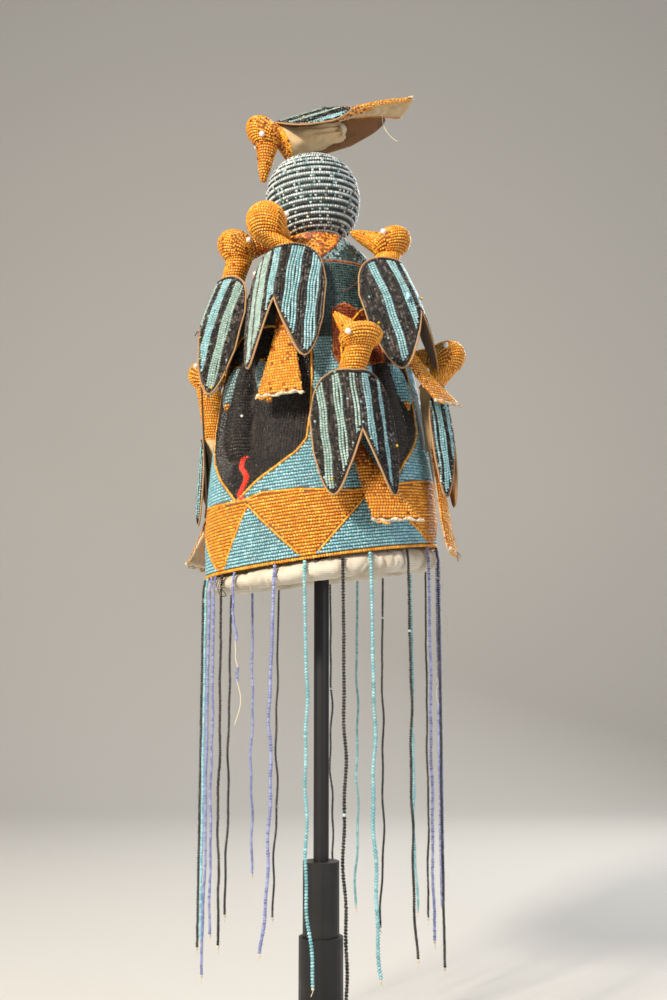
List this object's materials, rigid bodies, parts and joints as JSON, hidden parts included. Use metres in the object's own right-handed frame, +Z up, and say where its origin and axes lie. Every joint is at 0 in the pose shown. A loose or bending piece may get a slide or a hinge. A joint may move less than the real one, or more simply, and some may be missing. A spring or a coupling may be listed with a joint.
{
  "type": "beaded crown on a display stand",
  "caption": "Conical beaded crown with raised faces, stuffed birds, a ball on top and a veil of bead strings, on a plain display stand.",
  "frame": {"origin": "middle of the underside of the stand's base", "axes": "+Z up; the crown's front faces -Y; +X is to the right of someone looking at its front"},
  "size_m": [0.2701, 0.2784, 0.9203],
  "materials": {
    "beaded_shell": "glass seed beads sewn in rows on stiffened cloth, glossy beads",
    "orange_beadwork": "opaque orange glass seed beads sewn in rows on cloth, glossy beads",
    "striped_beadwork": "stripes of black and pale blue glass seed beads sewn on cloth",
    "cotton_roll": "plain woven cotton over padding, matt",
    "black_beads": "opaque black seed beads, glossy",
    "light_blue_beads": "opaque light blue seed beads, glossy",
    "periwinkle_beads": "opaque periwinkle seed beads, glossy",
    "turquoise_beads": "opaque turquoise seed beads, glossy",
    "black_steel": "satin black paint"
  },
  "bodies": {
    "root": {"crown_shell": "beaded_shell", "edge_binding": "orange_beadwork", "rim_roll": "cotton_roll", "ball": "striped_beadwork", "upper_bird_1_body": "orange_beadwork", "upper_bird_1_cape": "striped_beadwork", "upper_bird_1_tail": "orange_beadwork", "upper_bird_2_body": "orange_beadwork", "upper_bird_2_cape": "striped_beadwork", "upper_bird_2_tail": "orange_beadwork", "upper_bird_3_body": "orange_beadwork", "upper_bird_3_cape": "striped_beadwork", "upper_bird_3_tail": "orange_beadwork", "upper_bird_4_body": "orange_beadwork", "upper_bird_4_cape": "striped_beadwork", "upper_bird_4_tail": "orange_beadwork", "upper_bird_5_body": "orange_beadwork", "upper_bird_5_cape": "striped_beadwork", "upper_bird_5_tail": "orange_beadwork", "lower_bird_1_body": "orange_beadwork", "lower_bird_1_cape": "striped_beadwork", "lower_bird_1_tail": "orange_beadwork", "lower_bird_2_body": "orange_beadwork", "lower_bird_2_cape": "striped_beadwork", "lower_bird_2_tail": "orange_beadwork", "lower_bird_3_body": "orange_beadwork", "lower_bird_3_cape": "striped_beadwork", "lower_bird_3_tail": "orange_beadwork", "lower_bird_4_body": "orange_beadwork", "lower_bird_4_cape": "striped_beadwork", "lower_bird_4_tail": "orange_beadwork", "top_bird_body": "orange_beadwork", "top_bird_cape": "striped_beadwork", "top_bird_tail": "orange_beadwork", "veil_strand_01": "black_beads", "veil_strand_02": "light_blue_beads", "veil_strand_03": "periwinkle_beads", "veil_strand_04": "periwinkle_beads", "veil_strand_05": "black_beads", "veil_strand_06": "periwinkle_beads", "veil_strand_07": "periwinkle_beads", "veil_strand_08": "turquoise_beads", "veil_strand_09": "black_beads", "veil_strand_10": "turquoise_beads", "veil_strand_11": "black_beads", "veil_strand_12": "periwinkle_beads", "veil_strand_13": "black_beads", "veil_strand_14": "periwinkle_beads", "veil_strand_15": "periwinkle_beads", "veil_strand_16": "black_beads", "veil_strand_17": "turquoise_beads", "veil_strand_18": "black_beads", "veil_strand_19": "turquoise_beads", "veil_strand_20": "black_beads", "veil_strand_21": "black_beads", "veil_strand_22": "periwinkle_beads", "veil_strand_23": "black_beads", "stand_post": "black_steel", "stand_base": "black_steel"}
  },
  "joints": []
}
